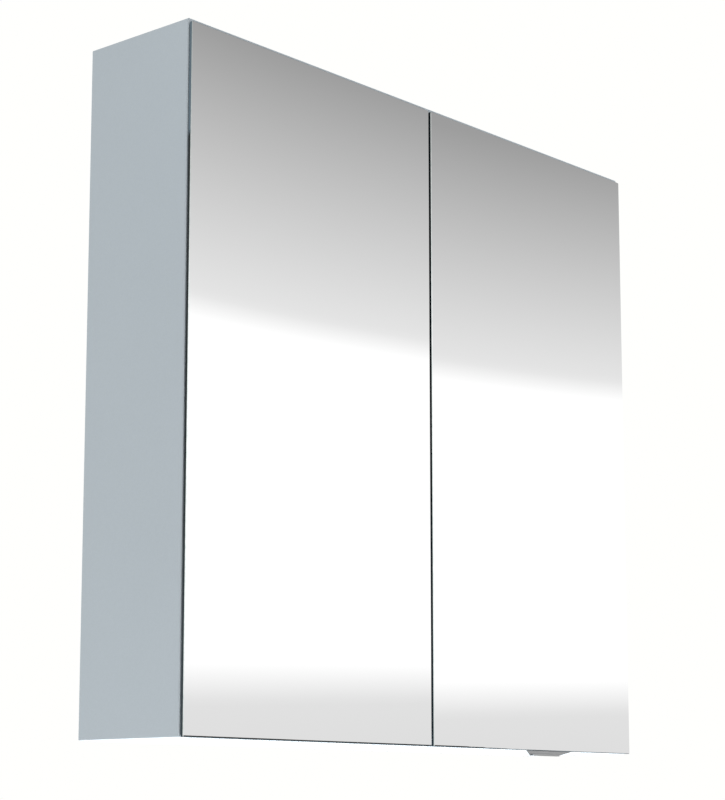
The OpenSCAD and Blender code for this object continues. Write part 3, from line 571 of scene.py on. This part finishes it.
# beech dowels: straight grain with short dark rays
beech, tree, shader, place = newMaterial("turnedBeech", {"Roughness": 0.6})
stretched = addNode(tree, "Mapping", None, {"Vector": place, "Scale": (0.12, 1, 1)}).outputs[0]
grain = addNode(tree, "TexNoise", None, {"Vector": stretched, "Scale": 1000 / 1.0, "Detail": 4.0}).outputs["Fac"]
beechTone = addNode(tree, "ValToRGB", None, {"Fac": grain})
blendStops(beechTone.color_ramp, [(0.3, "#B98A5C"), (0.7, "#D7B187")])
tree.links.new(beechTone.outputs["Color"], shader.inputs["Base Color"])
piece = mergedCopy("carcass_dowels", "carcass_dowels_beech")
breakEdges(piece, 0.6 * mm, 1)
dress(piece, [beech])
settle(piece, "dowel_beech", "carcass_dowels")

# brushed anodised aluminium pull: long satin lines along the door
pull = {"tone": "#B2B3B4", "line": 0.4, "edge": 0.35 * mm}
brushed, tree, shader, place = newMaterial("brushedAnodisedAluminium", {"Metallic": 1.0, "Roughness": 0.3, "Anisotropic": 0.5})
along = addNode(tree, "Mapping", None, {"Vector": place, "Scale": (0.02, 1, 1)}).outputs[0]
strokes = addNode(tree, "TexNoise", None, {"Vector": along, "Scale": 1000 / pull["line"], "Detail": 3.0}).outputs["Fac"]
strokeTone = addNode(tree, "ValToRGB", None, {"Fac": strokes})
blendStops(strokeTone.color_ramp, [(0.3, "#999A9B"), (0.7, pull["tone"])])
tree.links.new(strokeTone.outputs["Color"], shader.inputs["Base Color"])
bump = addNode(tree, "Bump", None, {"Strength": 0.3, "Distance": 0.02 * mm, "Height": strokes}).outputs[0]
tree.links.new(bump, shader.inputs["Normal"])
piece = mergedCopy("finger_pull", "finger_pull_aluminium")
breakEdges(piece, pull["edge"], 3)
dress(piece, [brushed])
settle(piece, "pull_aluminium", "finger_pull")

# acrylic foam tape: dull, dark, full of fine cells
foam, tree, shader, place = newMaterial("acrylicFoamTape", {"Roughness": 0.85, "Specular IOR Level": 0.2})
cells = addNode(tree, "TexVoronoi", None, {"Vector": place, "Scale": 1000 / 0.8}).outputs["Distance"]
cellTone = addNode(tree, "ValToRGB", None, {"Fac": cells})
blendStops(cellTone.color_ramp, [(0.1, "#3C4043"), (0.6, "#5C6063")])
tree.links.new(cellTone.outputs["Color"], shader.inputs["Base Color"])
bump = addNode(tree, "Bump", None, {"Strength": 0.5, "Distance": 0.1 * mm, "Height": cells}).outputs[0]
tree.links.new(bump, shader.inputs["Normal"])
for node in ("finger_pull_tape", "left_boss_pads", "right_boss_pads"):
    piece = mergedCopy(node, node + "_foam")
    breakEdges(piece, 0.1 * mm, 1)
    dress(piece, [foam])
    settle(piece, "adhesive_foam", node)

# polyurethane bumpers: small clear soft buttons
rubber, tree, shader, place = newMaterial("clearPolyurethane", {"Roughness": 0.12, "IOR": 1.48, "Transmission Weight": 0.7})
haze = addNode(tree, "TexNoise", None, {"Vector": place, "Scale": 1000 / 2, "Detail": 2.0}).outputs["Fac"]
hazeTone = addNode(tree, "ValToRGB", None, {"Fac": haze})
blendStops(hazeTone.color_ramp, [(0.3, "#D9DFE1"), (0.7, "#EEF2F3")])
tree.links.new(hazeTone.outputs["Color"], shader.inputs["Base Color"])
piece = mergedCopy("door_bumpers", "door_bumpers_clear")
breakEdges(piece, 0.7 * mm, 4)
dress(piece, [rubber])
settle(piece, "bumper_clear", "door_bumpers")

# moulded ABS catches: white, finely sparked
moulded, tree, shader, place = newMaterial("sparkedWhiteAbs", {"Roughness": 0.42})
spark = addNode(tree, "TexNoise", None, {"Vector": place, "Scale": 1000 / 0.7, "Detail": 3.0}).outputs["Fac"]
sparkTone = addNode(tree, "ValToRGB", None, {"Fac": spark})
blendStops(sparkTone.color_ramp, [(0.3, "#E6E6E3"), (0.7, "#F1F1EE")])
tree.links.new(sparkTone.outputs["Color"], shader.inputs["Base Color"])
bump = addNode(tree, "Bump", None, {"Strength": 0.3, "Distance": 0.05 * mm, "Height": spark}).outputs[0]
tree.links.new(bump, shader.inputs["Normal"])

# the pocket's floor: a black ferrite magnet between two steel pole plates
catch = {"middle": 6 * mm, "half": 2.3 * mm, "pocket": (1.2 * mm, 1.8 * mm), "ferrite": "#2B2C2E", "pole": "#A9ABAD"}
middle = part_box("left_magnet_catch")[0].z + catch["middle"]
magnetFace, tree, shader, place = newMaterial("ferriteBetweenPolePlates", {"Roughness": 0.5})
upAndDown = addNode(tree, "SeparateXYZ", None, {0: place}).outputs[2]
offMiddle = addNode(tree, "Math", {"operation": "ABSOLUTE"}, {
    0: addNode(tree, "Math", {"operation": "SUBTRACT"}, {0: upAndDown, 1: middle}).outputs[0]}).outputs[0]
onPole = addNode(tree, "Math", {"operation": "GREATER_THAN"}, {0: offMiddle, 1: catch["half"]}).outputs[0]
sinter = addNode(tree, "TexNoise", None, {"Vector": place, "Scale": 1000 / 0.6, "Detail": 4.0}).outputs["Fac"]
faceTone = addNode(tree, "Mix", {"data_type": "RGBA"}, {0: onPole, 6: catch["ferrite"], 7: catch["pole"]}).outputs[2]
tree.links.new(faceTone, shader.inputs["Base Color"])
tree.links.new(onPole, shader.inputs["Metallic"])
bump = addNode(tree, "Bump", None, {"Strength": 0.4, "Distance": 0.08 * mm, "Height": sinter}).outputs[0]
tree.links.new(bump, shader.inputs["Normal"])
for side in sides:
    piece = mergedCopy(side + "_magnet_catch", side + "_magnet_catch_moulded")
    breakEdges(piece, 0.5 * mm, 3)
    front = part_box(side + "_magnet_catch")[0].y
    dress(piece, [moulded, magnetFace], lambda normal, at: int(
        normal.y < -0.9 and catch["pocket"][0] < at.y - front < catch["pocket"][1]))
    settle(piece, "catch_plastic", side + "_magnet_catch")
print("small parts finished")
